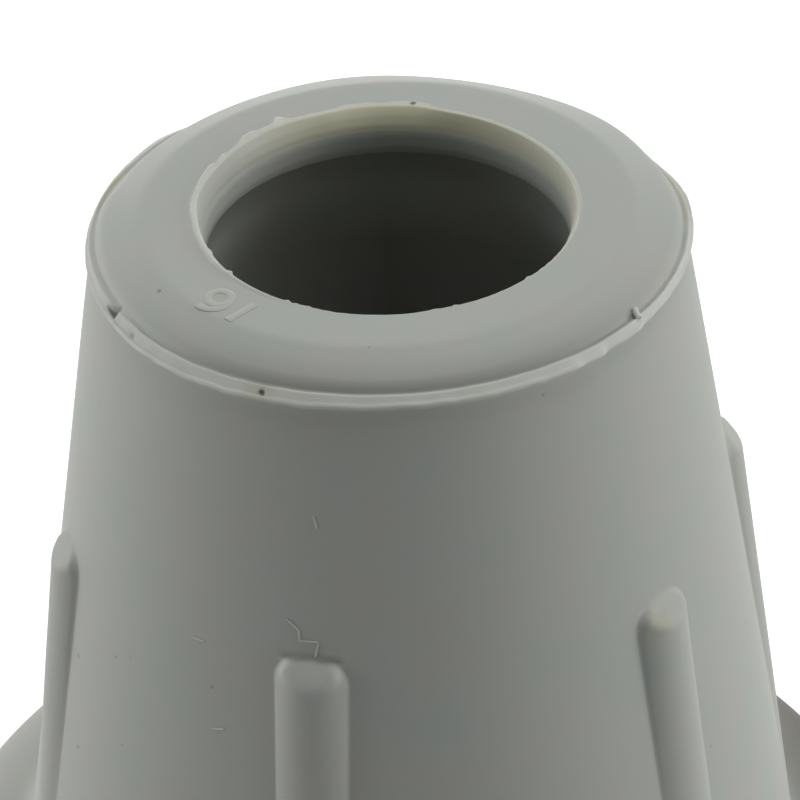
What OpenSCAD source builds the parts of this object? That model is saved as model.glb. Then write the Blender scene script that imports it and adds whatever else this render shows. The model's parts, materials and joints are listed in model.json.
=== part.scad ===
// Rubber tip for a cane or crutch tube: one moulded piece.
// A tapered body with six grip ribs stands on a flared foot with a ringed tread.
// The tube pushes in from above, past a tight neck ring, down to a blind seat.
// Frame: +Z is the axis of the tube, and the origin is the middle of the underside.

/* [Overall] */
// Height of the whole tip
tip_h = 53; // [46:0.5:75]
// Diameter of the foot where it is widest
foot_d = 53.5; // [44:0.5:70]
// Diameter of the body just under the rim
shoulder_d = 25.9; // [24:0.1:32]
// Slope of the body's side, measured from upright, in degrees
body_slope = 9.8; // [6:0.1:12]

/* [Tube] */
// Diameter of the tube that the tip grips
tube_d = 16; // [12:0.1:19.5]
// Depth of the seat's floor below the top face
seat_depth = 40; // [28:0.5:49]
// Height of the straight, tight part of the seat
seat_grip_h = 22; // [8:0.5:27]

/* [Neck] */
// Height of the straight part of the neck ring
neck_grip_h = 1.2; // [0.4:0.1:1.6]
// Depth of the neck ring's sharp lower edge below the top face
neck_depth = 2.2; // [1.6:0.1:4]
// Extra radius of the flared mouth over the neck ring
mouth_flare = 0.4; // [0.1:0.05:0.8]
// Extra radius of the undercut below the neck ring
undercut = 0.45; // [0.1:0.05:1]
// Rounding of the edge between the mouth and the top face
mouth_round = 0.3; // [0.1:0.05:0.6]

/* [Crown] */
// Width of the sloped band between the flat top face and the crown's side
crown_band = 1.9; // [1.4:0.05:2.4]
// Fall of the sloped band, in degrees
crown_slope = 21; // [0:1:28]
// Radius of the rounding between the sloped band and the crown's side
crown_round = 0.9; // [0.5:0.05:1.3]
// Depth of the rim's ledge below the top face
ledge_depth = 1.1; // [0.8:0.05:1.6]
// Width of the rim's ledge outside the crown
ledge_w = 0.25; // [0.1:0.05:0.8]
// How far the rim's lip stands out from the body
rim_proud = 0.27; // [0.1:0.01:0.4]
// Radius of the rim's lip, in section
rim_lip_r = 0.25; // [0.12:0.01:0.4]

/* [Ribs] */
// Turn of the ribs' plane of symmetry from the front, in degrees
rib_plane_turn = 71; // [-180:0.5:180]
// Turns of the ribs on each side away from that plane, in degrees
rib_spread = [24.5, 86.5, 146]; // [12:0.5:168]
// Width of a rib
rib_w = 3.2; // [1.6:0.1:3.6]
// How far a rib stands out at its upper end
rib_proud = 0.9; // [0.6:0.05:1.8]
// Radius of a rib's rounded face, across the rib
rib_face_r = 1.9; // [1.9:0.1:8]
// Difference between the body's slope and the slope of the rib's face, in degrees
rib_fade = 1.6; // [0:0.1:1.8]
// Depth of a rib's upper end below the top face
rib_drop = 13.1; // [6:0.1:18]
// Radius of the corners of a rib's upper end, seen from outside
rib_corner_r = 1; // [0.2:0.05:1.2]
// Radius of the nose of a rib's upper end, seen from the side
rib_nose_r = 1.8; // [0.2:0.05:2.2]

/* [Foot] */
// Radius of the domed top of the foot, in section
dome_r = 8.5; // [5:0.1:11]
// Height of the widest part of the foot
foot_side_h = 6.4; // [4:0.1:10]
// Radius of the hollow fillet between body and foot
foot_fillet_r = 2.5; // [0.5:0.1:3]
// Rounding of the bottom edge
foot_edge_r = 0.8; // [0.3:0.05:1.5]

/* [Tread] */
// Diameter of the flat pad in the middle of the underside
pad_d = 11; // [6:0.5:16]
// Width of the flat land outside the last ring groove
land_w = 3.8; // [2:0.1:6]
// Width of each ring groove at its open side
groove_w = 2.4; // [1:0.1:3]
// Depth of the ring grooves
groove_depth = 1.6; // [0.4:0.1:2.5]
// Number of ring grooves
groove_count = 4; // [2:1:5]

/* [Hidden] */
$fn = 96;

rubber_grey = [0.44, 0.46, 0.43];

// Overlap of shapes that are joined, and reach of cuts past a face
overlap = 0.01;
past = 1;

seat_r = tube_d / 2;
shoulder_r = shoulder_d / 2;
shoulder_z = tip_h - ledge_depth;
foot_r = foot_d / 2;
crown_r = shoulder_r - ledge_w;

// Crown: where its flat face ends, and the centre of its rounding, which
// touches the sloped band and the side
crown_flat_r = crown_r - crown_band;
crown_arc_x = crown_r - crown_round;
crown_arc_z = tip_h - (crown_arc_x - crown_flat_r) * tan(crown_slope) - crown_round / cos(crown_slope);
crown_arc_c = [crown_arc_x, crown_arc_z];

// Centre of the arc over the foot's straight side
dome_x = foot_r - dome_r;
dome_z = foot_side_h;
dome_c = [dome_x, dome_z];

// Radius of the body's side at height z
function body_r(z) = shoulder_r + (shoulder_z - z) * tan(body_slope);

// Distance along a line from p, in the downward direction d, to where it is r
// from the dome's centre, or r above it where the foot's top is flat
function meet_foot(p, d, r) =
    let (q = p - dome_c, flat = (r - q[1]) / d[1], along = q * d)
    q[0] + flat * d[0] <= 0 ? flat : -along - sqrt(along * along - q * q + r * r);

// Fillet between body and foot: a circle that touches both from outside
side_dir = [sin(body_slope), -cos(body_slope)];
side_out = [cos(body_slope), sin(body_slope)];
fillet_start = [shoulder_r, shoulder_z] + foot_fillet_r * side_out;
fillet_s = meet_foot(fillet_start, side_dir, dome_r + foot_fillet_r);
fillet_c = fillet_start + fillet_s * side_dir;
fillet_on_side = fillet_c - foot_fillet_r * side_out;
arc_c = [min(fillet_c[0], dome_x), dome_z];
fillet_on_foot = arc_c + (fillet_c - arc_c) * dome_r / (dome_r + foot_fillet_r);

// Ribs: place and slope of the middle line of the rounded face, which runs
// down until it is inside the foot
rib_top_z = tip_h - rib_drop;
rib_face_x = body_r(rib_top_z) + rib_proud;
rib_slope = body_slope - rib_fade;
rib_dir = [sin(rib_slope), -cos(rib_slope)];
rib_bed = 1.5;
rib_root = rib_proud + rib_bed;
rib_sunk = 0.6;
rib_len = meet_foot([rib_face_x, rib_top_z], rib_dir, dome_r) + rib_sunk;

// Section of the body, from inside the foot up to the rim
module body_section() {
    polygon([
        [0, dome_z], [fillet_on_side[0], dome_z], fillet_on_side,
        [shoulder_r, shoulder_z], [0, shoulder_z]
    ]);
}

// Section of the crown: flat face, sloped band and rounded outer edge
module crown_section() {
    base_z = min(crown_arc_z, shoulder_z) - past;
    arc_start = crown_arc_c + crown_round * [sin(crown_slope), cos(crown_slope)];
    polygon([
        [0, base_z], [crown_r, base_z], [crown_r, crown_arc_z], arc_start,
        [crown_flat_r, tip_h], [0, tip_h]
    ]);
    intersection() {
        translate(crown_arc_c)
            circle(r = crown_round);
        translate(crown_arc_c)
            square(crown_round);
    }
}

// Section of the rounded lip that the mould's parting line leaves on the ledge
module rim_section() {
    translate([shoulder_r + rim_proud - rim_lip_r, shoulder_z])
        circle(r = rim_lip_r);
}

// Section of the domed foot, its straight side and its rounded bottom edge
module foot_section() {
    intersection() {
        translate(dome_c)
            circle(r = dome_r);
        translate([0, dome_z])
            square([foot_r, dome_r]);
    }
    translate([0, dome_z])
        square([dome_x, dome_r]);
    translate([0, foot_edge_r])
        square([foot_r, dome_z - foot_edge_r]);
    square([foot_r - foot_edge_r, foot_edge_r + overlap]);
    translate([foot_r - foot_edge_r, foot_edge_r])
        circle(r = foot_edge_r);
}

// Section of the hollow fillet between the body and the foot
module fillet_section() {
    difference() {
        polygon([fillet_on_side, fillet_c, fillet_on_foot, [fillet_on_side[0], dome_z]]);
        translate(fillet_c)
            circle(r = foot_fillet_r);
    }
}

// Section of everything that is cut away for the tube
module tube_section() {
    floor_z = tip_h - seat_depth;
    grip_top = floor_z + seat_grip_h;
    neck_z = tip_h - neck_depth;
    flare_z = neck_z + neck_grip_h;
    mouth_r = seat_r + mouth_flare;
    lip_z = tip_h - mouth_round;
    polygon([
        [0, floor_z], [seat_r, floor_z], [seat_r, grip_top], [seat_r + undercut, neck_z],
        [seat_r, neck_z], [seat_r, flare_z], [mouth_r, lip_z],
        [mouth_r, tip_h + past], [0, tip_h + past]
    ]);
    difference() {
        translate([mouth_r - overlap, lip_z])
            square([mouth_round + overlap, mouth_round + past]);
        translate([mouth_r + mouth_round, lip_z])
            circle(r = mouth_round);
        translate([mouth_r + mouth_round, lip_z])
            square([past, mouth_round]);
    }
}

// Sections of the ring grooves in the underside
module tread_section() {
    // Each wall of a groove leans in by this much at its floor
    narrow = groove_w / 6;
    pitch = (foot_r - land_w - groove_w - pad_d / 2) / (groove_count - 1);
    for (i = [0 : groove_count - 1])
        translate([pad_d / 2 + i * pitch, 0])
            polygon([
                [0, -past], [0, 0], [narrow, groove_depth],
                [groove_w - narrow, groove_depth], [groove_w, 0], [groove_w, -past]
            ]);
}

// The round body of the tip with its bore and tread
module turned_body() {
    rotate_extrude()
        difference() {
            union() {
                body_section();
                crown_section();
                rim_section();
                foot_section();
                fillet_section();
            }
            tube_section();
            tread_section();
        }
}

// One rib, lying along its face: x out of the face, z up the rib from its top end
module rib() {
    intersection() {
        translate([0, 0, -rib_len])
            linear_extrude(height = rib_len)
                intersection() {
                    translate([-rib_face_r, 0])
                        circle(r = rib_face_r);
                    translate([-rib_root, -rib_w / 2])
                        square([rib_root, rib_w]);
                }
        rotate([90, 0, 0])
            linear_extrude(height = rib_w + past, center = true)
                rib_side_outline();
        rotate([90, 0, 90])
            translate([0, 0, -rib_root - past])
                linear_extrude(height = rib_root + 2 * past)
                    rib_front_outline();
    }
}

// Outline of a rib from the side, with the rounded nose of its upper end
module rib_side_outline() {
    translate([-rib_root - past, -rib_len - past])
        square([rib_root + past - rib_nose_r, rib_len + past]);
    translate([-rib_root - past, -rib_len - past])
        square([rib_root + 2 * past, rib_len + past - rib_nose_r]);
    translate([-rib_nose_r, -rib_nose_r])
        circle(r = rib_nose_r);
}

// Outline of a rib from outside, with the rounded corners of its upper end
module rib_front_outline() {
    half = rib_w / 2;
    translate([-half - past, -rib_len - past])
        square([rib_w + 2 * past, rib_len + past - rib_corner_r]);
    translate([-half + rib_corner_r, -rib_len - past])
        square([rib_w - 2 * rib_corner_r, rib_len + past]);
    for (side = [-1, 1])
        translate([side * (half - rib_corner_r), -rib_corner_r])
            circle(r = rib_corner_r);
}

module cane_tip() {
    color(rubber_grey) {
        turned_body();
        for (side = [-1, 1], spread = rib_spread)
            rotate([0, 0, -90 + rib_plane_turn + side * spread])
                translate([rib_face_x, 0, rib_top_z])
                    rotate([0, -rib_slope, 0])
                        rib();
    }
}

cane_tip();
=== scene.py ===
"""Rubber tip for a cane or crutch tube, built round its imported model.

The body is one moulded piece: a turned section whose crown carries the flash
of its mould, with grip ribs raised on the cone by a Geometry Nodes tree.
Every section is worked out in millimetres, and every mesh is in metres.
"""

import json
import math
from functools import partial

import bpy
import numpy as np
from bpy.props import FloatProperty, FloatVectorProperty, IntProperty, PointerProperty
from mathutils import Matrix, Vector


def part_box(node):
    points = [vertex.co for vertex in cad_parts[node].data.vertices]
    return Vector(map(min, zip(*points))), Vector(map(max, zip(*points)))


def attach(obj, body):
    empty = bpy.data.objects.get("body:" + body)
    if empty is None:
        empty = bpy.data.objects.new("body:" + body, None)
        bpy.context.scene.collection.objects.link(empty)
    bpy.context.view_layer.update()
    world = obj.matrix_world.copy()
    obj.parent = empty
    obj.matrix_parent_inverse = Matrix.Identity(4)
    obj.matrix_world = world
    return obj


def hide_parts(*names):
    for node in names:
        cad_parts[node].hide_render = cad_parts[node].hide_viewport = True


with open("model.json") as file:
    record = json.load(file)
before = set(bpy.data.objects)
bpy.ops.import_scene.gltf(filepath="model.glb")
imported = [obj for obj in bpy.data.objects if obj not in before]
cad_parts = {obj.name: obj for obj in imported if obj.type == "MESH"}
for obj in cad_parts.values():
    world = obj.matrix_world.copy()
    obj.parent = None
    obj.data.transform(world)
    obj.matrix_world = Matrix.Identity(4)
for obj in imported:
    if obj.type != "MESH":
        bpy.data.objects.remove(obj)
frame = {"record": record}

bl_info = {
    "name": "Rubber Cane Tip",
    "version": (1, 0, 0),
    "blender": (4, 5, 0),
    "location": "3D View > Sidebar > Cane Tip",
    "description": "Builds a moulded rubber tip for a cane or crutch tube, and its stage",
    "category": "Add Mesh",
}

MM = 0.001
NODE = "cane_tip"
BODY = "root"
OUTSIDE = "outside"
FLASH_AND_LIGHT = "flash"
BLOOM = "bloom"
STAIN = "stain"
SHADE = "shade"
RIB_TURN = "rib_turn"
RIB_SAG = "rib_sag"
LEAN = "lean"

FRAME_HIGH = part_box(NODE)[1]
MOUNTS = {mount["name"]: mount for mount in frame["record"]["mounts"]}
TUBE_R = MOUNTS["tube_bore"]["dims"]["r_mm"] * MM
SEAT_FLOOR = MOUNTS["seat_floor"]["pos_m"][2]


# ---- Sizes, colours and stage settings ----


def length(name, description, mm, low=0.0, high=100.0):
    """A length property, given in millimetres and kept in metres."""
    return FloatProperty(
        name=name,
        description=description,
        default=mm * MM,
        min=low * MM,
        max=high * MM,
        precision=5,
        unit="LENGTH",
    )


def angle(name, description, degrees):
    """An angle property, given in degrees and kept in radians."""
    return FloatProperty(
        name=name, description=description, default=math.radians(degrees), subtype="ANGLE"
    )


def share(name, description, value):
    """A plain amount between none and all."""
    return FloatProperty(
        name=name, description=description, default=value, min=0.0, max=1.0, subtype="FACTOR"
    )


def tint(name, description, colour):
    """A colour property, in linear light."""
    return FloatVectorProperty(
        name=name, description=description, default=colour, min=0.0, max=1.0, subtype="COLOR"
    )


def watts(name, description, value):
    """A light's power."""
    return FloatProperty(name=name, description=description, default=value, min=0.0, unit="POWER")


class TipShape(bpy.types.PropertyGroup):
    """Sizes of the moulded tip"""

    tip_h: length("Height", "Height of the whole tip", FRAME_HIGH.z / MM)
    foot_d: length("Foot", "Diameter of the foot where it is widest", 2 * FRAME_HIGH.x / MM)
    tube_d: length("Tube", "Diameter of the tube that the tip grips", 2 * TUBE_R / MM)
    seat_floor: length("Seat Floor", "Height of the seat's floor", SEAT_FLOOR / MM)
    seat_grip_h: length("Seat Grip", "Height of the straight part of the seat", 22)
    neck_depth: length("Neck Depth", "Depth of the neck ring's lower edge", 2.2)
    undercut: length("Undercut", "Extra radius under the neck ring", 0.45)
    mouth_flare: length("Mouth Flare", "Extra radius of the mouth over the neck ring", 0.4)
    shoulder_d: length("Shoulder", "Diameter of the body just under the rim", 25.9)
    body_slope: angle("Body Slope", "Slope of the body's side from upright", 9.8)
    crown_band: length("Crown Band", "Width of the sloped band round the top face", 1.9)
    crown_slope: angle("Band Slope", "Fall of the sloped band", 21)
    crown_round: length("Crown Round", "Radius of the crown's outer rounding", 0.9)
    ledge_depth: length("Ledge Depth", "Depth of the rim's ledge below the top face", 1.1)
    ledge_w: length("Ledge Width", "Width of the rim's ledge outside the crown", 0.25)
    rib_plane: angle("Rib Plane", "Turn of the ribs' plane of symmetry from the front", 71)
    rib_near: angle("Near Ribs", "Turn of the nearest ribs from that plane", 24.5)
    rib_next: angle("Next Ribs", "Turn of the next ribs from that plane", 86.5)
    rib_far: angle("Far Ribs", "Turn of the farthest ribs from that plane", 146)
    rib_w: length("Rib Width", "Width of a rib", 3.2)
    rib_proud: length("Rib Height", "How far a rib stands out at its upper end", 0.9)
    rib_face_r: length("Rib Face", "Radius of a rib's rounded face, across the rib", 1.85)
    rib_flatten: share("Rib Flatten", "How much that radius grows downwards, per length", 0.05)
    rib_fade: angle("Rib Fade", "Body's slope less the slope of a rib's face", 1.8)
    rib_drop: length("Rib Drop", "Depth of a rib's upper end below the top face", 13.1)
    rib_corner_r: length("Rib Corner", "Corner radius of a rib's end, from outside", 1.2)
    rib_nose: length("Rib Nose", "Length of the slope at a rib's upper end", 1.02)
    rib_nose_fall: length("Nose Fall", "Fall of that slope", 0.8)
    dome_r: length("Dome", "Radius of the domed top of the foot, in section", 8.5)
    dome_tilt: share("Dome Tilt", "How much lower the dome lies to the right, per length", 0.04)
    lean: share("Lean", "How much the body's left side spreads downwards, per length", 0.0105)
    foot_side_h: length("Foot Side", "Height of the widest part of the foot", 6.4)
    foot_fillet_r: length("Fillet", "Radius of the fillet between body and foot", 2.5)
    foot_edge_r: length("Foot Edge", "Rounding of the bottom edge", 0.8)
    pad_d: length("Pad", "Diameter of the flat pad under the foot", 11)
    land_w: length("Land", "Width of the land outside the last ring groove", 3.8)
    groove_w: length("Groove Width", "Width of each ring groove", 2.4)
    groove_depth: length("Groove Depth", "Depth of the ring grooves", 1.6)
    groove_count: IntProperty(
        name="Grooves", description="Number of ring grooves", default=4, min=2, max=5
    )
    mark_width: length("Mark Width", "Width of the strokes of the size mark", 0.38)
    mark_height: length("Mark Height", "Height of the size mark over the top face", 0.04)


class TipFinish(bpy.types.PropertyGroup):
    """Colours and surface of the rubber"""

    rubber: tint("Rubber", "Main colour of the rubber", (0.385, 0.402, 0.368))
    cool: tint("Cool Mottle", "Colour of the cooler clouds in the rubber", (0.371, 0.402, 0.37))
    warm: tint("Warm Mottle", "Colour of the warmer clouds in the rubber", (0.398, 0.399, 0.371))
    # Also the colour that paints light on the ribs' noses, the neck and bore walls on the left,
    # and the nib
    flash: tint("Flash", "Colour of thin flash, paler than the rubber", (0.53, 0.545, 0.505))
    bloom: tint("Bloom", "Olive colour of the bloom in the mouth", (0.68, 0.675, 0.49))
    stain: tint("Stain", "Colour of the yellowed spots along the rim", (0.36, 0.36, 0.24))
    # Also the colour that the shade mask mixes in as painted shade
    dirt: tint("Dirt", "Colour of the dark specks", (0.06, 0.05, 0.04))
    roughness: share("Roughness", "Roughness of the rubber", 0.62)
    grain: share("Grain", "Strength of the fine grain", 0.12)


class StageSetup(bpy.types.PropertyGroup):
    """Camera, lights and floor"""

    distance: length("Distance", "Camera's distance from the crown's centre", 127.76, high=1000)
    elevation: angle("Elevation", "Camera's height above the crown, as an angle", 32.1)
    aim_right: length("Aim Right", "Aim point, right of the axis", 0.22, low=-50)
    aim_down: length("Aim Down", "Aim point, below the crown", 10.44)
    roll: angle("Roll", "Camera's turn about its own axis", -2.53)
    lens: FloatProperty(
        name="Lens", description="Focal length in millimetres", default=132.38, min=10, max=500
    )
    floor_size: length("Floor", "Half width of the floor", 1500, high=5000)
    left: watts("Left", "Power of the left softbox", 2.07)
    left_back: watts("Left Back", "Power of the softbox low behind the left side", 1.85)
    right: watts("Right", "Power of the right softbox", 2.57)
    right_front: watts("Right Front", "Power of the softbox low before the right side", 0.9)
    back: watts("Back", "Power of the softbox low behind the tip", 1.46)
    top: watts("Top", "Power of the softbox straight above", 1.5)
    right_top: watts("Right Top", "Power of the softbox high behind the right side", 1.56)
    sky: share("Sky", "Brightness of the dim light from all round", 0.0)


# ---- Section of the tip, in millimetres ----


class Section:
    """The shape's settings, with its lengths in millimetres, and more sizes of the section."""

    def __init__(self, shape):
        for name in shape.__annotations__:
            value = getattr(shape, name)
            is_length = shape.bl_rna.properties[name].unit == "LENGTH"
            setattr(self, name, value / MM if is_length else value)
        self.top = self.tip_h
        self.seat_r = self.tube_d / 2
        self.grip_top = self.seat_floor + self.seat_grip_h
        self.neck_z = self.top - self.neck_depth
        self.undercut_r = self.seat_r + self.undercut
        self.shoulder_r = self.shoulder_d / 2
        self.shoulder_z = self.top - self.ledge_depth
        self.crown_r = self.shoulder_r - self.ledge_w
        self.crown_flat_r = self.crown_r - self.crown_band
        self.foot_r = self.foot_d / 2
        self.rib_top = self.top - self.rib_drop

    def body_r(self, z):
        """Radius of the body's side at height z."""
        return self.shoulder_r + (self.shoulder_z - z) * math.tan(self.body_slope)

    def crown_arc(self):
        """Centre of the crown's outer rounding, which touches the band and the side."""
        x = self.crown_r - self.crown_round
        fall = (x - self.crown_flat_r) * math.tan(self.crown_slope)
        return x, self.top - fall - self.crown_round / math.cos(self.crown_slope)

    def fillet(self):
        """Centre of the hollow fillet, and its ends on the body and on the foot."""
        fillet_r = self.foot_fillet_r
        side = Vector((math.sin(self.body_slope), -math.cos(self.body_slope)))
        out = Vector((-side.y, side.x))
        dome = Vector((self.foot_r - self.dome_r, self.foot_side_h))
        reach = self.dome_r + fillet_r
        start = Vector((self.shoulder_r, self.shoulder_z)) + fillet_r * out
        gap = start - dome
        along = gap.dot(side)
        travel = -along - math.sqrt(along * along - gap.dot(gap) + reach * reach)
        centre = start + travel * side
        on_foot = dome + (centre - dome) * self.dome_r / reach
        return centre, centre - fillet_r * out, on_foot, dome


def arc_points(centre, radius, start, end, count):
    """Points along an arc of the section, with the angles in radians from outward."""
    turn = np.linspace(start, end, count)
    return list(zip(centre[0] + radius * np.cos(turn), centre[1] + radius * np.sin(turn)))


def heading(centre, point):
    """Direction from a centre to a point, in radians from outward."""
    return math.atan2(point[1] - centre[1], point[0] - centre[0])


# ---- Values that vary round the axis ----


def around(degrees, marks, soften=3.0):
    """A value that follows (azimuth, value) marks round the axis, softened over some degrees."""
    at, values = zip(*marks)
    run = np.interp(degrees, at, values, period=360)
    if soften == 0:
        return run
    waves = np.fft.rfftfreq(len(run), 1 / len(run))
    fade = np.exp(-2 * (math.pi * waves * soften / 360) ** 2)
    return np.fft.irfft(np.fft.rfft(run) * fade, len(run))


def apart(degrees, at):
    """Degrees from each azimuth to one azimuth, between -180 and 180."""
    return (degrees - at + 180) % 360 - 180


def teeth(degrees, marks):
    """Pointed teeth, from (azimuth, half width, height) marks."""
    total = np.zeros_like(degrees)
    for at, half, height in marks:
        total = np.maximum(total, height * np.clip(1 - abs(apart(degrees, at)) / half, 0, 1))
    return total


def ripple(degrees, seed, slowest, fastest):
    """An uneven line between -1 and 1, made of sine waves with fixed phases."""
    dice = np.random.default_rng(seed)
    waves = np.arange(slowest, fastest + 1)[:, None]
    phases = dice.uniform(0, 2 * math.pi, waves.shape)
    weights = dice.uniform(0.2, 1, waves.shape)
    run = (weights * np.sin(np.radians(degrees) * waves + phases)).sum(0)
    return run / abs(run).max()


def smooth_step(low, high, values):
    """A smooth climb from 0 at low to 1 at high."""
    t = np.clip((values - low) / (high - low), 0, 1)
    return t * t * (3 - 2 * t)


# Tables of the mould's flash, as (azimuth, value) marks. Azimuths are in degrees from the
# front, positive to the right, and lengths are in millimetres.
# Extra radius of the mouth's edge, and (azimuth, half width, depth) of the bites out of it
MOUTH_EDGE = ((-180, 0.02), (-175, 0.08), (-168, 0.06), (-163, -0.04), (-155, -0.04),
              (-140, -0.02), (-130, -0.08), (-118, -0.16), (-98, -0.12), (-86, -0.22),
              (-72, -0.22), (-60, -0.16), (-25, -0.1), (-15, 0), (5, 0.05), (12, -0.02),
              (25, 0.05), (60, 0.03), (75, -0.02), (88, -0.14), (110, -0.2), (135, -0.25),
              (158, -0.22), (164, -0.12), (168, 0.04), (174, 0.06))
MOUTH_BITES = ((-54.4, 1.5, 0.14), (-31, 1.2, 0.11), (-28, 1.0, 0.06), (-24, 1.3, 0.08),
               (12, 2.0, 0.05), (18.4, 1.1, 0.1), (43.5, 1.4, 0.09), (-67, 2.0, 0.08),
               (71, 1.3, 0.07))
# How far the ragged lip of the mouth reaches beyond its edge, and how high it stands
LIP_WIDTH = ((-180, 0.12), (-176, 0.2), (-168, 0.2), (-164, 0.1), (-151.5, 0.12), (-150, 0.28),
             (-149, 0.55), (-147.2, 0.6), (-146, 0.3), (-144, 0.18), (-139.4, 0.16), (-138, 0.34),
             (-133.4, 0.34), (-132, 0.16), (-128, 0.08), (-124, 0.04), (-122.9, 0.24),
             (-120.5, 0.12), (-117.8, 0.06), (-116.4, 0.26), (-111, 0.2), (-104, 0.14),
             (-92, 0.14), (-84, 0.08), (-75, 0.1), (-55, 0.04), (-30, 0.01), (0, 0.0), (60, 0.01),
             (80, 0.04), (150, 0.05), (163, 0.08), (167, 0.24), (176, 0.24))
LIP_LIFT = ((-180, 0.09), (-160, 0.1), (-145, 0.2), (-75, 0.2), (-55, 0.08), (-30, 0.0), (60, 0.0),
            (85, 0.05), (150, 0.06))
# Where the mouth is more olive: nearly all round, but less to the front
MOUTH_BLOOM = ((-180, 1.0), (-160, 0.95), (-147, 0.6), (-135, 0.25), (-115, 0.05), (-60, 0.0),
               (0, 0.0), (45, 0.2), (60, 0.45), (75, 0.45), (95, 0.45), (120, 0.55), (150, 1.0))
# Painted light in the mouth: how much paler the neck and flare are on the left, where their walls
# face the right-hand softboxes
MOUTH_PAINTED_LIGHT = ((-180, 0.0), (-165, 0.15), (-150, 0.6), (-135, 0.9), (-90, 1.0), (-70, 0.8),
              (-55, 0.1), (-45, 0.0))
# Extra radius of the crown's rounding
CROWN_SWELL = ((-180, 0.1), (-170, 0.17), (-155, 0.06), (-140, 0.0), (-100, -0.03), (-60, 0.0),
               (110, 0.04), (122, 0.2), (134, 0.12), (148, -0.1), (165, -0.12), (174, 0.0))
# Outer and inner radius of the rim's ledge, and the level of its inner edge
RIM_REACH = ((-180, 13.0), (-140, 13.0), (-129, 13.2), (-104, 13.1), (-80, 13.18), (-70, 13.24),
             (-60, 13.31), (-50, 13.37), (-41, 13.38), (-24, 13.35), (0, 13.27), (28, 13.28),
             (34, 13.38), (36, 13.29), (40.3, 13.36), (41.5, 13.2), (46, 13.27), (50.5, 13.34),
             (52, 13.22), (72, 13.26), (84, 13.28), (97, 13.29), (104, 13.18), (112, 13.02),
             (125, 12.97))
RIM_INNER = ((-180, 12.85), (-115, 12.88), (-104, 12.96), (-90, 12.92), (-76, 12.86), (-66, 12.81),
             (-55, 12.8), (-42, 12.85), (-24, 12.84), (0, 12.81), (20, 12.84), (32, 12.9),
             (42, 12.97), (60, 13.0), (84, 13.02), (92, 12.96), (100, 12.88))
RIM_CREST = ((-180, -1.3), (-142, -1.25), (-130, -0.98), (-104, -0.95), (-80, -0.88),
             (-70, -0.87), (-55, -0.95), (-42, -0.92), (-24, -0.88), (0, -0.88), (43, -0.86),
             (90, -0.86), (98, -0.96), (108, -1.22), (150, -1.3))
# Depth of the channel between the ledge's two edges
RIM_CHANNEL = ((-180, 0.0), (-68, 0.0), (-63, 0.06), (-40, 0.06), (-30, 0.03), (-22, 0.0),
               (60, 0.0))
# How much lower the ledge's outer edge lies than its inner edge
RIM_FALL = ((-180, 0.05), (-110, 0.05), (-88, 0.14), (-70, 0.33), (-50, 0.35), (-41, 0.38),
            (-24, 0.36), (0, 0.25), (43, 0.32), (72, 0.24), (90, 0.08), (120, 0.05))
# How yellow the rim is
RIM_STAIN = ((-180, 0.0), (-119, 0.0), (-112, 0.8), (-102, 0.7), (-96, 0.0), (-29, 0.0),
             (-25, 0.7), (-21, 0.1), (-14, 0.0), (10, 0.0), (14, 0.15), (18, 0.0), (84, 0.0),
             (90, 0.45), (104, 0.7), (110, 0.2), (118, 0.0))
# Pits in the rim's ledge, as corners (radius, azimuth) and a depth
PITS = (
    (((13.02, -66.3), (13.1, -62.3), (12.6, -62.9)), 0.42),
    (((13.08, -56.2), (13.16, -54.9), (12.96, -55.3)), 0.22),
    (((13.17, -24.9), (13.17, -23.2), (12.99, -24.0)), 0.3),
)


# Painted shade in a pit, per mm of its depth, and the radius at which its edges are true
PIT_SHADE = 2.2
PIT_RADIUS = 13.0


def pit_depth(degrees, radii):
    """Depth of the pits at each point of the ledge."""
    depth = np.zeros_like(radii)
    for corners, deep in PITS:
        middle = corners[0][1]
        scale = math.radians(PIT_RADIUS)
        flat = [(apart(at, middle) * scale, r) for r, at in corners]
        u = apart(degrees, middle) * scale
        inside = np.full_like(radii, np.inf)
        for (u0, r0), (u1, r1) in zip(flat, flat[1:] + flat[:1]):
            edge = math.hypot(u1 - u0, r1 - r0)
            inside = np.minimum(inside, ((u - u0) * (r1 - r0) - (radii - r0) * (u1 - u0)) / edge)
        depth += deep * smooth_step(-0.04, 0.1, inside)
    return depth


# ---- Rings of the moulded body ----


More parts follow.
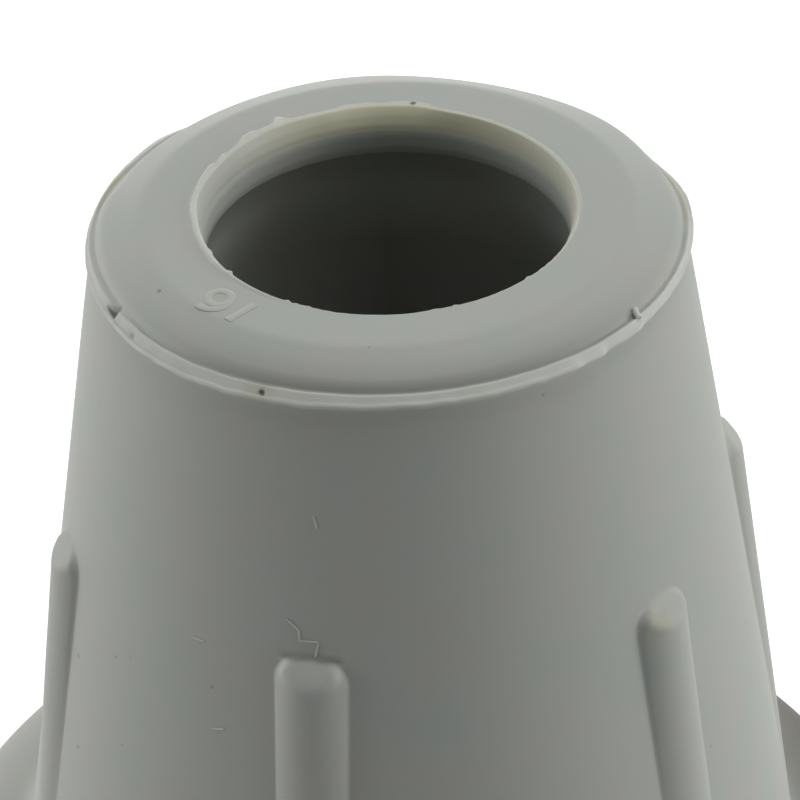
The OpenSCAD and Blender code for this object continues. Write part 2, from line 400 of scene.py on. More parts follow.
class Loft:
    """Collects closed rings of points, in order, and joins each one to the next with faces."""

    def __init__(self):
        self.points = []
        self.faces = []
        labels = (OUTSIDE, LEAN, FLASH_AND_LIGHT, BLOOM, STAIN, SHADE, RIB_TURN, RIB_SAG)
        self.values = {label: [] for label in labels}
        self.count = 0
        self.last = None

    def ring(self, degrees, radii, heights, **values):
        """Adds a ring, at azimuths in rising order, and joins it to the last one."""
        degrees = np.asarray(degrees, float)
        radii = np.broadcast_to(radii, degrees.shape)
        heights = np.broadcast_to(heights, degrees.shape)
        turn = np.radians(degrees)
        self.points.append(np.stack([radii * np.sin(turn), -radii * np.cos(turn), heights], 1))
        for label, rows in self.values.items():
            rows.append(np.broadcast_to(values.get(label, 0.0), degrees.shape))
        new = (self.count, degrees)
        self.count += len(degrees)
        if self.last is not None:
            self.join(self.last, new)
        self.last = new

    def join(self, upper, lower):
        """Joins two rings: with quads where their columns match, or with triangles."""
        (a0, a_turn), (b0, b_turn) = upper, lower
        n, m = len(a_turn), len(b_turn)
        if n == 1:
            self.faces += [(a0, b0 + k, b0 + (k + 1) % m) for k in range(m)]
        elif m == 1:
            self.faces += [(a0 + j, b0, a0 + (j + 1) % n) for j in range(n)]
        elif n == m:
            ends = [(j, (j + 1) % n) for j in range(n)]
            self.faces += [(a0 + j, b0 + j, b0 + k, a0 + k) for j, k in ends]
        else:
            self.zip_rings(upper, lower)

    def zip_rings(self, upper, lower):
        """Fills between rings with different columns, walking both from one azimuth."""
        (a0, a_turn), (b0, b_turn) = upper, lower
        n, m = len(a_turn), len(b_turn)
        first = int(np.argmin(abs(apart(b_turn, a_turn[0]))))
        a_on = np.mod(np.roll(a_turn, -1) - a_turn[0], 360)
        a_on[-1] = 360
        lead = apart(b_turn[first], a_turn[0])
        b_on = lead + np.mod(np.roll(b_turn, -first - 1) - b_turn[first], 360)
        b_on[-1] = lead + 360
        j = k = 0
        while j < n or k < m:
            a, b = a0 + j % n, b0 + (first + k) % m
            if k == m or (j < n and a_on[j] <= b_on[k]):
                j += 1
                self.faces.append((a, b, a0 + j % n))
            else:
                k += 1
                self.faces.append((a, b, b0 + (first + k) % m))

    def mesh(self, name):
        """The rings as one smooth mesh in metres, with its point attributes."""
        mesh = bpy.data.meshes.new(name)
        mesh.from_pydata((np.concatenate(self.points) * MM).tolist(), [], self.faces)
        for label, rows in self.values.items():
            layer = mesh.attributes.new(label, "FLOAT", "POINT")
            layer.data.foreach_set("value", np.concatenate(rows).astype(np.float32))
        mesh.shade_smooth()
        mesh.update()
        return mesh


def even_turns(count):
    """Evenly spaced azimuths."""
    return np.arange(count) * 360 / count - 180


# Columns round the bore, the crown with its rim, and the underside
BORE_TURNS = 160
CROWN_TURNS = 960
UNDER_TURNS = 180
# Distances across a rib at which the columns stand, and columns from there to mid-way
RIB_COLUMNS = (0, 0.2, 0.4, 0.6, 0.78, 0.94, 1.08, 1.2, 1.3, 1.39, 1.47, 1.54, 1.61, 1.69,
               1.78, 1.9, 2.1)
OPEN_COLUMNS = 11
# How much lower than the highest possible end each rib ends, in order of azimuth
RIB_SAGS = (0.5, 1.45, 0.0, 0.9, 0.65, 0.4)


def rib_places(s):
    """Azimuths of the ribs, in rising order."""
    spreads = (s.rib_near, s.rib_next, s.rib_far)
    turns = [s.rib_plane + side * spread for side in (-1, 1) for spread in spreads]
    return sorted(apart(math.degrees(turn), 0) for turn in turns)


def rib_turns(s, radius):
    """Azimuths that bunch at the ribs, at a radius in mm, with turns and sags of those ribs."""
    places = rib_places(s)
    near = np.degrees(np.arcsin(np.array(RIB_COLUMNS) / np.clip(radius, 13.5, 21)))
    azimuths, turns, sags = [], [], []
    for i, at in enumerate(places):
        before = (at - places[i - 1]) % 360 / 2
        after = (places[(i + 1) % len(places)] - at) % 360 / 2
        left = np.linspace(near[-1], before, OPEN_COLUMNS + 1)[1:]
        right = np.linspace(near[-1], after, OPEN_COLUMNS + 1)[1:-1]
        local = np.concatenate([-left[::-1], -near[:0:-1], near, right])
        azimuths.append(at + local)
        turns.append(local)
        sags.append(np.full(len(local), RIB_SAGS[i]))
    return np.concatenate(azimuths), np.concatenate(turns), np.concatenate(sags)


# Painted shade on the bore's wall, from its foot up, as shares of the painted shade under the neck
WALL_SHARES = (0.42, 0.42, 0.5, 0.75)


def bore_rings(loft, s):
    """Floor and wall of the blind seat, from its middle up to the neck."""
    turns = even_turns(BORE_TURNS)
    ring = partial(loft.ring, turns)
    corner = 0.5
    side = np.sin(np.radians(turns))
    left, right = np.clip(-side, 0, 1), np.clip(side, 0, 1)
    # Painted shade, darkest at the back, less at the sides and least on the left wall, which the
    # right-hand softboxes light
    dark = 1.6 - 0.4 * np.cos(np.radians(turns)) - 1.5 * left - 0.4 * right
    loft.ring([0.0], 0, s.seat_floor, shade=0.6)
    ring(s.seat_r * 0.5, s.seat_floor, shade=0.4 * dark)
    centre = (s.seat_r - corner, s.seat_floor + corner)
    for r, z in arc_points(centre, corner, -math.pi / 2, 0, 5):
        ring(r, z, shade=0.4 * dark)
    levels = np.linspace(s.seat_floor + 2, s.grip_top, len(WALL_SHARES))
    # The shade values paint shade on the wall, and the flash values paint light on its left side
    for part, z in zip(WALL_SHARES, levels):
        ring(s.seat_r, z, shade=dark * part, flash=0.8 * left * part)
    for t in (0.1, 0.3, 0.5, 0.7, 0.9):
        z = s.grip_top + (s.neck_z - s.grip_top) * t
        shade = dark * min(0.82, 3.2 - 3.2 * t)
        ring(s.seat_r + s.undercut * t, z, shade=shade, flash=0.8 * left)


# Distance from the neck at which the lip's unevenness is over
LIP_END = 1.6
# The flare's shares of the way from the neck to the edge, with heights, over two faint steps
FLARE = ((0.03, -0.84), (0.08, -0.7), (0.14, -0.64), (0.19, -0.56), (0.31, -0.46),
         (0.36, -0.38), (0.52, -0.26), (0.68, -0.14), (0.82, -0.06), (0.92, -0.02))


def mouth_rings(loft, s, turns):
    """Neck ring and flared mouth, with the uneven lip that flash has left on its edge."""
    ring = partial(loft.ring, turns)
    top = s.top
    edge = around(turns, MOUTH_EDGE, 2.0) + s.seat_r + s.mouth_flare
    tooth = around(turns, LIP_WIDTH, 0.35)
    lift = np.clip(around(turns, LIP_LIFT), 0, None)
    ragged = np.clip(14 * lift, 0, 1)
    width = 0.07 + tooth + 0.03 * ragged * ripple(turns, 31, 50, 130)
    fine = 0.02 * (1 - ragged) * ripple(turns, 3, 40, 110) - teeth(turns, MOUTH_BITES)
    wave = 0.02 * ripple(turns, 5, 3, 40)
    low_wave = 0.03 * ripple(turns, 7, 2, 40)
    neck = s.seat_r
    bloom = np.clip(around(turns, MOUTH_BLOOM, 6.0), 0, 1)
    lit = np.clip(around(turns, MOUTH_PAINTED_LIGHT, 6.0), 0, 1)
    dull = 1 - lit
    # Painted shade low in the neck where it is not lit, and painted light up its lit left side
    ring(s.undercut_r, s.neck_z + low_wave, shade=0.6)
    ring(neck + 0.05, s.neck_z + low_wave, shade=0.5 * dull)
    ring(neck, s.neck_z + 0.06 + low_wave, shade=0.2 * dull, flash=0.8 * lit)
    ring(neck, top - 1.75, shade=0.1 * dull, flash=lit)
    ring(neck, top - 1.4 + wave, flash=lit)
    step = top - 1.0 + wave
    base = neck + 0.03
    ring(neck + 0.005, step - 0.04, bloom=0.1 * bloom, flash=lit)
    ring(base, step + 0.02, bloom=0.5 * bloom, flash=lit)
    # Paleness of the flare and lip: painted light on the left, and the paler flash of the ragged
    # lip
    for t, z in FLARE:
        height = top + z + 0.6 * wave * (1 - t) + 0.6 * lift * t ** 6
        pale = np.clip(lit + 0.5 * ragged * t ** 3, 0, 1)
        ring(base + (edge + fine - base) * t, height, bloom=bloom, flash=pale)
    for t, part in ((0.0, 0.62), (0.35, 0.8), (0.7, 0.95), (1.0, 1.0)):
        radius = edge + fine * (1 - t) + width * t
        pale = np.clip(lit + (0.5 + 0.5 * t) * ragged * (0.4 + 0.6 * lit), 0, 1)
        ring(radius, top + part * lift, bloom=(1 - 0.9 * t) * bloom, flash=pale)
    end = edge + width
    ring(end + 0.03, top + 0.9 * lift, flash=0.9 * pale)
    ring(end + 0.07, top + 0.3 * lift, flash=0.5 * pale)
    ring(end + 0.13, top, flash=0.1 * ragged)
    ring(end + 0.17, top)
    ring(neck + LIP_END, top)


def crown_rings(loft, s, turns):
    """Flat top face, sloped band and the crown's outer rounding."""
    ring = partial(loft.ring, turns)
    start = s.seat_r + LIP_END + 0.1
    blend_r = 1.4
    reach = blend_r * math.tan(s.crown_slope / 2)
    end = s.crown_flat_r - reach
    ring(start, s.top)
    ring((start + end) / 2, s.top)
    centre = (end, s.top - blend_r)
    for r, z in arc_points(centre, blend_r, math.pi / 2, math.pi / 2 - s.crown_slope, 5):
        ring(r, z)
    swell = around(turns, CROWN_SWELL, 5.0)
    fill = np.clip(around(turns, RIM_INNER) - 0.06 - s.crown_r, 0, 0.3)
    fill = fill * smooth_step(112, 100, abs(turns))
    front = smooth_step(80, 20, abs(turns))
    ring(s.crown_flat_r + 0.5 + 0.5 * swell, s.top - 0.5 * math.tan(s.crown_slope))
    arc = s.crown_arc()
    for r, z in arc_points(arc, s.crown_round, math.pi / 2 - s.crown_slope, math.asin(0.5), 7):
        farther = swell * smooth_step(13.1, 12.4, r) + fill * smooth_step(11.2, 12.4, r)
        pit = pit_depth(turns, r + farther)
        # Painted shade on the front of the crown's rounding, and in the pits
        shade = 0.8 * front * smooth_step(11.6, 12.4, r) + np.clip(PIT_SHADE * pit, 0, 1)
        ring(r + farther, z - pit, shade=shade)


# Depth of channel that parts the rim's two pale edges, and the ledge's width at full detail
DEEP_CHANNEL = 0.06
FULL_LEDGE = 0.42


def rim_rings(loft, s, turns):
    """Groove, sloped ledge and edge that the mould's parting line leaves round the shoulder."""
    ring = partial(loft.ring, turns)
    top = s.top
    inner = around(turns, RIM_INNER) + 0.012 * ripple(turns, 11, 6, 60)
    outer = around(turns, RIM_REACH, 0.5) + 0.012 * ripple(turns, 13, 5, 110)
    crest = top + around(turns, RIM_CREST) + 0.02 * ripple(turns, 17, 4, 50)
    fall = around(turns, RIM_FALL, 4.0) * (1 + 0.12 * ripple(turns, 23, 12, 90))
    channel = around(turns, RIM_CHANNEL)
    stain = np.clip(around(turns, RIM_STAIN, 1.0), 0, 1)
    front = smooth_step(75, 45, abs(turns))
    groove_r = inner - 0.1
    groove_z = np.minimum(top - s.crown_round - 0.03, crest - 0.04 - 0.08 * front)
    bridge = smooth_step(-106, -94, turns) * smooth_step(-54, -60, turns)
    muted = 1 - 0.5 * smooth_step(-112, -100, turns) * smooth_step(-58, -66, turns)
    groove_z = groove_z + (crest - 0.03 - groove_z) * bridge
    between = 1.0 - 0.5 * np.clip(channel / DEEP_CHANNEL, 0, 1)
    wide = np.clip((outer - inner) / FULL_LEDGE, 0.25, 1)
    # Radius, height and paleness of each ring
    rows = [
        (groove_r, groove_z, 0.0),
        (inner - 0.04, crest - 0.03 - 0.06 * front, 0.5),
        (inner, crest - 0.02, 0.8),
        (inner + 0.05 * wide, crest, 1.0),
        (inner + 0.11 * wide, crest - 0.12 * fall - channel, 0.5 + 0.5 * between),
    ]
    start, end = inner + 0.11 * wide, outer - 0.15 * wide
    for t in (0.2, 0.4, 0.6, 0.8, 1.0):
        z = crest - fall * (0.12 + 0.68 * t) - channel
        rows.append((start + (end - start) * t, z, between))
    edge = crest - fall
    rows += [
        (outer - 0.1 * wide, edge + 0.14 * fall, 1.0),
        (outer - 0.04 * wide, edge - 0.01, 1.0),
        (outer - 0.01, edge - 0.05, 1.0),
        (outer, edge - 0.1, 1.0),
        (outer - 0.03, edge - 0.16, 0.8),
        (np.maximum(s.body_r(edge - 0.22) + 0.02, outer - 0.12), edge - 0.22, 0.5),
    ]
    for r, z, flash in rows:
        yellow = stain * (0.5 + 0.5 * np.clip(2 * flash, 0, 1))
        pit = pit_depth(turns, r)
        # Painted shade in the pits
        shade = np.clip(PIT_SHADE * pit, 0, 1)
        ring(r, z - pit, flash=flash * muted, stain=yellow, shade=shade)
    low = edge - 0.3
    ring(s.body_r(low) + 0.02, low, flash=0.3, stain=0.4 * stain)
    low = edge - 0.42
    ring(s.body_r(low), low)
    for z in (top - 2.05, top - 2.4):
        ring(s.body_r(z), z)


# Depths below the ribs' highest end at which rings stand, close together at the ribs' noses
DROPS = (-9.5, -6, -3, -1.0, -0.4, -0.12, 0, 0.08, 0.15, 0.21, 0.27, 0.33, 0.4, 0.48, 0.57,
         0.68, 0.8, 0.94, 1.1, 1.3, 1.55, 1.8, 2.2, 3, 4.5, 6.5, 8.5, 11, 13, 15)
# Share of the dome's tilt on the left, and painted shade in the fillet all round, in the fillet
# to the right, and on the dome to the right
LEFT_TILT = 0.58
FILLET_DUSK = 0.7
RIGHT_DUSK = 0.84 * FILLET_DUSK
RIGHT_SHADE = 0.75


def outside_rings(loft, s):
    """Cone with the columns of its ribs, fillet and dome, down to the foot's straight side."""
    centre, on_side, on_foot, dome = s.fillet()
    heights = [s.rib_top - drop for drop in DROPS]
    heights += list(np.linspace(heights[-1], on_side[1], 14)[1:-1])
    outline = [(s.body_r(z), z) for z in heights if z > on_side[1] + 0.2]
    start, end = heading(centre, on_side), heading(centre, on_foot)
    outline += arc_points(centre, s.foot_fillet_r, start, end, 9)
    outline += arc_points(dome, s.dome_r, heading(dome, on_foot), 0, 22)[1:]
    marks = list(zip(rib_places(s), RIB_SAGS))
    for r, z in outline:
        azimuths, turns, sags = rib_turns(s, r)
        side = np.sin(np.radians(azimuths))
        right = np.clip(side, 0, 1)
        drop = s.rib_top - z
        # Every ring follows the tilt of the dome, and the level at which each rib ends
        tilt = smooth_step(2, 9, z) * smooth_step(on_side[1] + 10, on_side[1], z)
        across = r * np.where(side < 0, LEFT_TILT * side, side)
        follow = smooth_step(-6, -0.5, drop) * smooth_step(9, 3, drop)
        shift = -s.dome_tilt * across * tilt - follow * around(azimuths, marks, 0)
        radii = s.body_r(z + shift) if z > on_side[1] else r
        spread = s.lean * (s.shoulder_z - z) * smooth_step(s.foot_side_h, on_side[1] + 1, z)
        # Painted shade in the fillet, painted shade low on the right, and painted shade in the
        # crease over each rib in front
        dusk = smooth_step(on_side[1] + 1, on_foot[1] - 2, z)
        low = smooth_step(on_side[1] + 1, on_foot[1] + 0.5, z)
        aside = abs(r * np.sin(np.radians(turns)))
        ahead = np.clip(3 * np.cos(np.radians(azimuths)) - 2, 0, 1)
        crease_shade = (0.2 + 0.8 * ahead) * ahead * smooth_step(1.6, 1.1, aside)
        crease_shade = crease_shade * smooth_step(-0.3, -0.1, drop) * smooth_step(0.1, 0, drop)
        # Painted highlight on the upper end of each rib in front, mixed in through the flash
        # values
        nose_highlight = ahead * smooth_step(1.5, 1.2, aside) * smooth_step(0.02, 0.14, drop)
        values = {
            RIB_TURN: np.radians(turns),
            RIB_SAG: sags * MM,
            LEAN: spread * np.clip(-side, 0, 1) * MM,
            SHADE: FILLET_DUSK * dusk + (RIGHT_DUSK * dusk + RIGHT_SHADE * low) * right + crease_shade,
            FLASH_AND_LIGHT: nose_highlight * smooth_step(1.3, 0.3, drop),
        }
        loft.ring(azimuths, radii, z + shift, outside=1.0, **values)


def under_rings(loft, s):
    """Straight side, rounded bottom edge and the ringed tread, in to the middle of the pad."""
    turns = even_turns(UNDER_TURNS)
    edge_r = s.foot_edge_r
    outline = [(s.foot_r, s.foot_side_h * 0.6)]
    outline += arc_points((s.foot_r - edge_r, edge_r), edge_r, 0, -math.pi / 2, 7)
    narrow = s.groove_w / 6
    soft = 0.12
    pad_r = s.pad_d / 2
    pitch = (s.foot_r - s.land_w - s.groove_w - pad_r) / (s.groove_count - 1)
    deep = s.groove_depth
    wall = [(-soft, 0), (0, soft / 3), (narrow * 0.1, soft), (narrow * 0.9, deep - soft),
            (narrow, deep - soft / 3), (narrow + soft, deep)]
    for i in reversed(range(s.groove_count)):
        inside = pad_r + i * pitch
        outline += [(inside + s.groove_w - x, z) for x, z in wall]
        outline += [(inside + x, z) for x, z in reversed(wall)]
    for r, z in outline:
        loft.ring(turns, r, z)
    loft.ring([0.0], 0, 0)


# ---- Node trees ----


class Value:
    """One output in a node tree, which plain formulas can use."""

    def __init__(self, board, socket):
        self.board = board
        self.socket = socket

    def __add__(self, other):
        return self.board.math("ADD", self, other)

    def __sub__(self, other):
        return self.board.math("SUBTRACT", self, other)

    def __rsub__(self, other):
        return self.board.math("SUBTRACT", other, self)

    def __mul__(self, other):
        return self.board.math("MULTIPLY", self, other)

    def __truediv__(self, other):
        return self.board.math("DIVIDE", self, other)


class Board:
    """Places and links nodes in one tree."""

    def __init__(self, tree):
        self.tree = tree
        self.column = 0

    def node(self, kind, *inputs, **named):
        """Adds a node, and feeds its inputs in order (None is left alone) or by name.

        Names in small letters are the node's settings.
        """
        node = self.tree.nodes.new(kind)
        node.location = (self.column * 180, 0)
        self.column += 1
        for name in filter(str.islower, named):
            setattr(node, name, named[name])
        for socket, value in zip(node.inputs, inputs):
            self.feed(socket, value)
        self.feed_named(node, **named)
        return node

    def feed_named(self, node, **named):
        """Feeds inputs by name, with underscores for spaces."""
        for name, value in named.items():
            if not name.islower():
                self.feed(node.inputs[name.replace("_", " ")], value)

    def feed(self, socket, value):
        """Links a socket, or sets its value."""
        if isinstance(value, Value):
            self.tree.links.new(value.socket, socket)
        elif value is not None:
            socket.default_value = value

    def value(self, kind, *inputs, output=0, **named):
        """Adds a node and gives one of its outputs, by number or by name."""
        return Value(self, self.node(kind, *inputs, **named).outputs[output])

    def math(self, operation, *inputs):
        """A Math node's result."""
        return self.value("ShaderNodeMath", *inputs, operation=operation)

    def length(self, vector):
        """A vector's length."""
        return self.value("ShaderNodeVectorMath", vector, operation="LENGTH", output=1)


def new_tree(name, family, inputs, outputs):
    """A new tree with named sockets, as its board and the values that it is given."""
    tree = bpy.data.node_groups.new(name, family + "NodeTree")
    for direction, sockets in (("OUTPUT", outputs), ("INPUT", inputs)):
        for label, kind in sockets.items():
            kind = "NodeSocket" + kind
            tree.interface.new_socket(name=label, in_out=direction, socket_type=kind)
    board = Board(tree)
    given = board.node("NodeGroupInput").outputs
    return board, {socket.name: Value(board, socket) for socket in given}


def geometry_tree(name, sizes):
    """A new tree that takes geometry, sizes and a material, and gives geometry."""
    inputs = {"Geometry": "Geometry", **dict.fromkeys(sizes, "Float"), "Material": "Material"}
    return new_tree(name, "Geometry", inputs, {"Geometry": "Geometry"})


def finish_tree(board, geometry, material):
    """Ends a tree in real geometry with its material."""
    real = board.value("GeometryNodeRealizeInstances", geometry)
    dressed = board.value("GeometryNodeSetMaterial", real, Material=material)
    board.node("NodeGroupOutput", dressed)
    return board.tree


def rounded_max(board, first, second, power):
    """The larger of two positive values, with a rounded change from one to the other."""
    total = board.math("POWER", first, power) + board.math("POWER", second, power)
    return board.math("POWER", total, 1 / power)


def fall_off(board, across, radius):
    """How far a circle of a radius has fallen at a distance from its crest."""
    left = radius * radius - across * across
    return radius - board.math("SQRT", board.math("MAXIMUM", left, 0.0))


def attribute(board, name):
    """A number stored at each point."""
    return board.value("GeometryNodeInputNamedAttribute", name)


RIB_SIZES = ("Half Width", "Face Reach", "Face Slope", "Face Radius", "Face Growth",
             "Top Height", "Corner Radius", "Nose Length", "Nose Fall")
# How softly a rib's face turns into its nose, its walls and the body, and the walls' slope
NOSE_SOFT = 0.22 * MM
NOSE_POWER = 3.0
WALL_SOFT = 0.2 * MM
BODY_SOFT = 0.14 * MM
WALL_SLOPE = 3.0


def rib_tree():
    """Raises ribs from the points marked as outside, each with its turn from the nearest rib."""
    board, given = geometry_tree("Grip Ribs", RIB_SIZES)
    place = board.value("GeometryNodeInputPosition")
    xyz = board.node("ShaderNodeSeparateXYZ", place).outputs
    x, y, z = (Value(board, socket) for socket in xyz)

    # The nearest rib's own frame: across it, and out from the axis
    turn = attribute(board, RIB_TURN)
    middle = board.math("ARCTAN2", x, y * -1.0) - turn
    radius = board.length(board.value("ShaderNodeCombineXYZ", x, y, 0.0))
    across = radius * board.math("SINE", turn)
    reach = radius * board.math("COSINE", turn)
    drop = given["Top Height"] - z

    # Rounded face, which slopes out and flattens downwards, and ends in a sloped nose
    crest = given["Face Reach"] + drop * board.math("TANGENT", given["Face Slope"])
    side_fall = fall_off(board, across, given["Face Radius"] + drop * given["Face Growth"])
    drop = drop - attribute(board, RIB_SAG)
    nose_slope = given["Nose Fall"] / given["Nose Length"]
    nose_fall = (given["Nose Length"] - drop) * nose_slope
    nose_fall = board.math("SMOOTH_MAX", nose_fall, 0.0, NOSE_SOFT)
    nose_fall = board.math("MAXIMUM", nose_fall, 0.0)
    face = crest - rounded_max(board, side_fall, nose_fall, NOSE_POWER)

    # Distance inside the rib's outline, a rectangle with two rounded corners
    corner_r = given["Corner Radius"]
    over_x = board.math("ABSOLUTE", across) - (given["Half Width"] - corner_r)
    over_z = corner_r - drop
    past_x = board.math("MAXIMUM", over_x, 0.0)
    past_z = board.math("MAXIMUM", over_z, 0.0)
    outer = board.length(board.value("ShaderNodeCombineXYZ", past_x, past_z, 0.0))
    inner = board.math("MINIMUM", board.math("MAXIMUM", over_x, over_z), 0.0)
    wall = reach + (corner_r - (outer + inner)) * WALL_SLOPE

    # Softly joined to the walls and to the body, and moved out from the axis
    raised = board.math("SMOOTH_MIN", face, wall, WALL_SOFT)
    raised = board.math("SMOOTH_MAX", raised, reach, BODY_SOFT)
    lift = (raised - reach) * attribute(board, OUTSIDE) + attribute(board, LEAN)
    out_x = board.math("SINE", middle)
    out_y = board.math("COSINE", middle) * -1.0
    out = board.value("ShaderNodeCombineXYZ", out_x, out_y, 0.0)
    offset = board.value("ShaderNodeVectorMath", out, operation="SCALE", Scale=lift)
    moved = board.value("GeometryNodeSetPosition", given["Geometry"], Offset=offset)
    return finish_tree(board, moved, given["Material"])


STROKE_SIDES = 12


def stroke_tree():
    """Gives strokes an oval section and a paleness, as raised lettering and hairs have."""
    board, given = geometry_tree("Raised Strokes", ("Radius", "Flatness", "Spacing", "Paleness"))
    spacing = given["Spacing"]
    path = board.value("GeometryNodeResampleCurve", given["Geometry"], mode="LENGTH",
                       Length=spacing)
    upright = board.value("GeometryNodeSetCurveNormal", path, mode="Z_UP")
    ring = board.value("GeometryNodeCurvePrimitiveCircle", STROKE_SIDES, Radius=given["Radius"])
    squash = board.value("ShaderNodeCombineXYZ", 1.0, given["Flatness"], 1.0)
    oval = board.value("GeometryNodeTransform", ring, Scale=squash)
    tube = board.value("GeometryNodeCurveToMesh", upright, oval, Fill_Caps=True)
    smooth = board.value("GeometryNodeSetShadeSmooth", tube)
    stored = board.value("GeometryNodeStoreNamedAttribute", smooth, None, FLASH_AND_LIGHT,
                         Value=given["Paleness"])
    return finish_tree(board, stored, given["Material"])


def grow(piece, tree, values):
    """Runs a tree on an object and returns the result as a plain mesh object."""
    modifier = piece.modifiers.new(tree.name, "NODES")
    modifier.node_group = tree
    for item in tree.interface.items_tree:
        if item.item_type == "SOCKET" and item.in_out == "INPUT" and item.name in values:
            modifier[item.identifier] = values[item.name]
    graph = bpy.context.evaluated_depsgraph_get()
    graph.update()
    mesh = bpy.data.meshes.new_from_object(piece.evaluated_get(graph), depsgraph=graph)
    name = piece.name
    bpy.data.objects.remove(piece)
    mesh.name = name
    return add_object(name, mesh)


def add_object(name, data):
    """Adds an object to the scene, at the origin."""
    made = bpy.data.objects.new(name, data)
    bpy.context.scene.collection.objects.link(made)
    return made


# ---- Materials ----

# Specks and stains: azimuth in degrees, radius, height, size in mm, strength and colour
SPOTS = (
    (-59.5, 11.19, 52.86, 0.14, 0.5, "dirt"),
    (-5.1, 10.72, 53.0, 0.1, 0.35, "dirt"),
    (170.5, 8.66, 53.1, 0.2, 0.9, "dirt"),
    (-93.8, 11.61, 52.7, 0.3, 0.3, "stain"),
    # Painted shade: the dark spot at -24.1 degrees darkens the rim's small pit
    (-24.1, 13.1, 51.9, 0.18, 0.9, "dirt"),
    (27.2, 13.12, 50.93, 0.12, 0.3, "dirt"),
    (-66.3, 16.25, 33.79, 0.16, 0.35, "dirt"),
    (-63.6, 17.08, 29.23, 0.16, 0.35, "dirt"),
    (-54.3, 15.85, 35.94, 0.12, 0.4, "dirt"),
    (-50.5, 15.73, 36.5, 0.1, 0.35, "dirt"),
    (-32.7, 15.55, 37.31, 0.12, 0.4, "dirt"),
    (-51.0, 16.6, 31.77, 0.1, 0.35, "dirt"),
    (74.4, 16.36, 32.18, 0.15, 0.3, "dirt"),
    (53.9, 16.8, 29.62, 0.14, 0.3, "dirt"),
    (-75.5, 16.8, 35.95, 0.3, 0.35, "dirt"),
    (44.0, 15.8, 38.3, 0.85, 0.45, "stain"),
    (95.5, 16.1, 38.4, 0.5, 0.25, "stain"),
    (-50.4, 9.4, 53.0, 0.28, 0.22, "stain"),
    (-46.6, 9.66, 53.0, 0.35, 0.2, "stain"),
)
# Noise scales of the clouds, the grain and the spots' edges
CLOUD_SCALE = 300.0
FINE_SCALE = 4200.0
BROAD_SCALE = 500.0
SPOT_SCALE = 3000.0
# Masks in order of mixing, with their strength and the colour that each one mixes in
# The flash mask also paints light, and the shade mask mixes in the specks' dark colour as painted
# shade
MASKS = ((FLASH_AND_LIGHT, 0.9, "flash"), (BLOOM, 0.9, "bloom"), (STAIN, 0.8, "stain"),
         (SHADE, 0.4, "dirt"))
# Shade beyond which the gloss falls, the gloss before that, and the most that it falls
DEEP_SHADE = 1.5
PLAIN_GLOSS = 0.5
GLOSS_LOSS = 0.4
FLOOR_GREY = (0.6, 0.6, 0.6, 1.0)
FLOOR_GLOW = 0.76
WHITE = (1.0, 1.0, 1.0, 1.0)


def opaque(colour):
    """A colour with full alpha."""
    return (*colour, 1.0)


def blend(board, share_in, colour, other):
    """Mixes some of another colour into a colour."""
    skipped = [None] * 5
    return board.value("ShaderNodeMix", share_in, *skipped, colour, other, data_type="RGBA",
                       output=2)


def object_place(board):
    """Place on the object, in its own axes."""
    return board.value("ShaderNodeTexCoord", output="Object")


def mottle_group():
    """Soft clouds of two colours over a main colour."""
    inputs = {"Base": "Color", "Cool": "Color", "Warm": "Color", "Scale": "Float"}
    board, given = new_tree("Rubber Mottle", "Shader", inputs, {"Colour": "Color"})
    clouds = board.value("ShaderNodeTexNoise", object_place(board), None, given["Scale"], 3.0)
    cool = board.value("ShaderNodeMapRange", clouds, 0.5, 0.68)
    warm = board.value("ShaderNodeMapRange", clouds, 0.5, 0.32)
    colour = blend(board, cool, given["Base"], given["Cool"])
    board.node("NodeGroupOutput", blend(board, warm, colour, given["Warm"]))
    return board.tree


def grain_group():
    """Fine grain of a moulded surface, as a normal."""
    board, given = new_tree("Moulded Grain", "Shader", {"Strength": "Float"},
                            {"Normal": "Vector"})
    place = object_place(board)
    fine = board.value("ShaderNodeTexNoise", place, None, FINE_SCALE, 2.0)
    broad = board.value("ShaderNodeTexNoise", place, None, BROAD_SCALE, 2.0)
    bump = board.value("ShaderNodeBump", Strength=given["Strength"], Distance=0.02 * MM,
                       Height=fine + broad * 2.0)
    board.node("NodeGroupOutput", bump)
    return board.tree


def spot_group():
    """A soft uneven spot round a place, as a mask."""
    inputs = {"Place": "Vector", "Size": "Float"}
    board, given = new_tree("Soft Spot", "Shader", inputs, {"Mask": "Float"})
    place = object_place(board)
    gap = board.value("ShaderNodeVectorMath", place, given["Place"], operation="SUBTRACT")
    uneven = board.value("ShaderNodeTexNoise", place, None, SPOT_SCALE, 1.0)
    near = board.length(gap) / given["Size"] + (uneven - 0.5) * 0.9
    mask = board.value("ShaderNodeMapRange", near, 1.0, 0.35, interpolation_type="SMOOTHSTEP")
    board.node("NodeGroupOutput", mask)
    return board.tree


